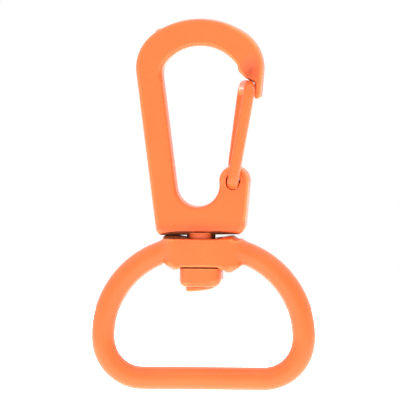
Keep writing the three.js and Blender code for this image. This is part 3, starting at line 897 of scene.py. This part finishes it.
def orange_paint(name, cast):
    """Satin sprayed paint: soft orange peel, paler on edges from thin paint and a painted
    highlight, painted shade in hollows and gaps, and a few dust specks.
    """
    nodes = Nodes(name)
    place = nodes.add("ShaderNodeTexCoord").outputs["Object"]
    tone = nodes.add("ShaderNodeAttribute", attribute_name="edge_tone").outputs["Fac"]

    # Slight clouds, paler on sharp edges (thin paint and a painted highlight) and darker in inside
    # corners (painted shade)
    cloudy = noise(nodes, place, CLOUD_SCALE, 3.0, 0.55)
    colour = mix_colour(nodes, ramp(nodes, cloudy, 0.35, 0.7), PAINT_DEEP, PAINT)
    colour = mix_colour(nodes, ramp(nodes, tone, 0.75, 2.0), colour, PAINT_THIN_HIGHLIGHT)
    colour = mix_colour(nodes, ramp(nodes, tone, 0.36, 0.1), colour, PAINT_HOLLOW_SHADE)

    # Dust: the middles of a few of the cells
    cells = nodes.add("ShaderNodeTexVoronoi", Scale=DUST_SCALE)
    nodes.link(place, cells.inputs["Vector"])
    sparse = noise(nodes, place, DUST_THINNING_SCALE, 0.0)
    near = ramp(nodes, cells.outputs["Distance"], 0.060, 0.030)
    dust = nodes.add("ShaderNodeMath", operation="MULTIPLY")
    nodes.link(near, dust.inputs[0])
    nodes.link(ramp(nodes, sparse, 0.54, 0.6), dust.inputs[1])
    colour = mix_colour(nodes, dust.outputs[0], colour, SPECK)

    if cast:
        # a thin darker line along the middle plane, round the walls' silhouettes
        colour = mix_colour(nodes, along_parting(nodes, place), colour, MIDDLE_LINE_DARK)
    # Painted shade: darker in gaps, hollows and under parts, by the attribute's amount
    painted_shade = nodes.add("ShaderNodeAttribute", attribute_name="painted_shade").outputs["Fac"]
    colour = mix_colour(nodes, painted_shade, colour, SHADE_DARK)

    peel = noise(nodes, place, PEEL_SCALE, 1.0)
    grain = noise(nodes, place, GRAIN_SCALE, 2.0)
    normal = bump(nodes, peel, 0.02, 0.35)
    normal = bump(nodes, grain, 0.004, 0.3, normal)

    shader = nodes.add("ShaderNodeBsdfPrincipled")
    shader.inputs["IOR"].default_value = 1.5
    shader.inputs["Specular IOR Level"].default_value = 0.3
    shader.inputs["Specular Tint"].default_value = (1.0, 0.8, 0.6, 1.0)
    shader.inputs["Coat Weight"].default_value = 0.12
    shader.inputs["Coat Roughness"].default_value = 0.14
    nodes.link(colour, shader.inputs["Base Color"])
    rough = nodes.add("ShaderNodeMapRange")
    rough.inputs["To Min"].default_value = 0.36
    rough.inputs["To Max"].default_value = 0.5
    nodes.link(cloudy, rough.inputs["Value"])
    nodes.link(rough.outputs["Result"], shader.inputs["Roughness"])
    nodes.link(normal, shader.inputs["Normal"])
    output = nodes.add("ShaderNodeOutputMaterial")
    nodes.link(shader.outputs["BSDF"], output.inputs["Surface"])
    return nodes.material


def shade_skin_material(name):
    """Dark matt mottled skin that paints the shade in gaps, hollows and under parts."""
    nodes = Nodes(name)
    place = nodes.add("ShaderNodeTexCoord").outputs["Object"]
    mottle = noise(nodes, place, CASTING_SCALE, 3.0, 0.6)
    colour = mix_colour(nodes, ramp(nodes, mottle, 0.35, 0.7), SHADE_DARK, SHADE_DARK_MOTTLE)
    shader = nodes.add("ShaderNodeBsdfPrincipled", Roughness=0.8)
    shader.inputs["Specular IOR Level"].default_value = 0.1
    nodes.link(colour, shader.inputs["Base Color"])
    nodes.link(bump(nodes, mottle, 0.02, 0.6), shader.inputs["Normal"])
    output = nodes.add("ShaderNodeOutputMaterial")
    nodes.link(shader.outputs["BSDF"], output.inputs["Surface"])
    return nodes.material


# ---------------------------------------------------------------- stage

FLOOR_HALF = 0.6  # m
FLOOR_DROP = 0.03  # m under the ring
FLOOR_GLOW = 1.8  # what the floor gives off, which lights the object's lower faces
ROOM_LEVEL = 1.0
ROOM_LOBES = (  # direction that the room is brighter in (or dimmer, if negative), and by how much
    ((-0.9, -0.43, 0.0), 1.2),
    ((0.0, -0.4, -0.9), 1.2),
    ((0.1, -0.6, 0.8), 0.1),
    ((0.35, 0.05, 1.0), 2.3),
    ((0.95, -0.3, 0.0), -0.3),
)


def white_material(name, glow):
    """Faintly mottled white that also glows a little."""
    nodes = Nodes(name)
    place = nodes.add("ShaderNodeTexCoord").outputs["Object"]
    soft = noise(nodes, place, 6.0)
    colour = mix_colour(nodes, soft, (0.94, 0.94, 0.94), (0.96, 0.96, 0.96))
    shader = nodes.add("ShaderNodeBsdfPrincipled", Roughness=0.9)
    nodes.link(colour, shader.inputs["Base Color"])
    shader.inputs["Emission Color"].default_value = (1, 1, 1, 1)
    shader.inputs["Emission Strength"].default_value = glow
    output = nodes.add("ShaderNodeOutputMaterial")
    nodes.link(shader.outputs["BSDF"], output.inputs["Surface"])
    return nodes.material


def add_floor():
    """A pale floor well under the ring."""
    h = FLOOR_HALF
    mesh = bpy.data.meshes.new("floor")
    mesh.from_pydata([(-h, -h, 0), (h, -h, 0), (h, h, 0), (-h, h, 0)], [], [(0, 1, 2, 3)])
    floor = bpy.data.objects.new("floor", mesh)
    floor.location.z = CAD_BOX[0][2] - FLOOR_DROP
    mesh.materials.append(white_material("floor_white", FLOOR_GLOW))
    bpy.context.scene.collection.objects.link(floor)


def add_room():
    """The studio's soft light: a white room, brighter above, below, in front and to the left."""
    world = bpy.data.worlds.new("white_room")
    world.use_nodes = True
    bpy.context.scene.world = world
    tree = world.node_tree
    direction = tree.nodes.new("ShaderNodeTexCoord").outputs["Generated"]
    even = tree.nodes.new("ShaderNodeValue")
    level = even.outputs["Value"]
    level.default_value = ROOM_LEVEL
    for lobe, strength in ROOM_LOBES:
        towards = tree.nodes.new("ShaderNodeVectorMath")
        towards.operation = "DOT_PRODUCT"
        tree.links.new(direction, towards.inputs[0])
        towards.inputs[1].default_value = Vector(lobe).normalized()
        bright = tree.nodes.new("ShaderNodeMath")
        bright.operation = "MAXIMUM"
        bright.inputs[1].default_value = 0.0
        tree.links.new(towards.outputs["Value"], bright.inputs[0])
        added = tree.nodes.new("ShaderNodeMath")
        added.operation = "MULTIPLY_ADD"
        added.inputs[1].default_value = strength
        tree.links.new(bright.outputs[0], added.inputs[0])
        tree.links.new(level, added.inputs[2])
        level = added.outputs[0]
    background = tree.nodes["Background"]
    background.inputs["Color"].default_value = (1, 1, 1, 1)
    tree.links.new(level, background.inputs["Strength"])


# ---------------------------------------------------------------- assembly

bpy.context.scene.view_settings.view_transform = "Standard"
bpy.context.scene.view_settings.look = "None"

add_camera()
add_floor()
add_room()

cast_paint = orange_paint("orange_paint_cast", True)
plain_paint = orange_paint("orange_paint_plain", False)
# dark matt material for the painted shade
shade_skin = shade_skin_material("painted_shade_skin")
cast = (cast_paint, shade_skin)
plain = (plain_paint, shade_skin)

hook = mesh_field("hook_casting", hook_field, hook_painted_shade, cast, HOOK_MESH)
ring = mesh_field("ring_casting", ring_field, ring_painted_shade, cast, RING_MESH)
stud = mesh_field("stud", stud_field, stud_painted_shade, plain, STUD_MESH)
cap = mesh_field("cap", cap_field, cap_painted_shade, plain, CAP_MESH)
gate = add_gate(plain_paint)

PIECES = (
    (hook, "hook", "hook_body", "hook_paint"),
    (stud, "hook", "swivel_stud", "stud_paint"),
    (cap, "hook", "retaining_cap", "stud_paint"),
    (gate, "gate", "gate_wire", "wire_paint"),
    (ring, "ring", "swivel_ring", "ring_paint"),
)
for piece, body, node, slot in PIECES:
    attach(piece, body)
    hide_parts(node)
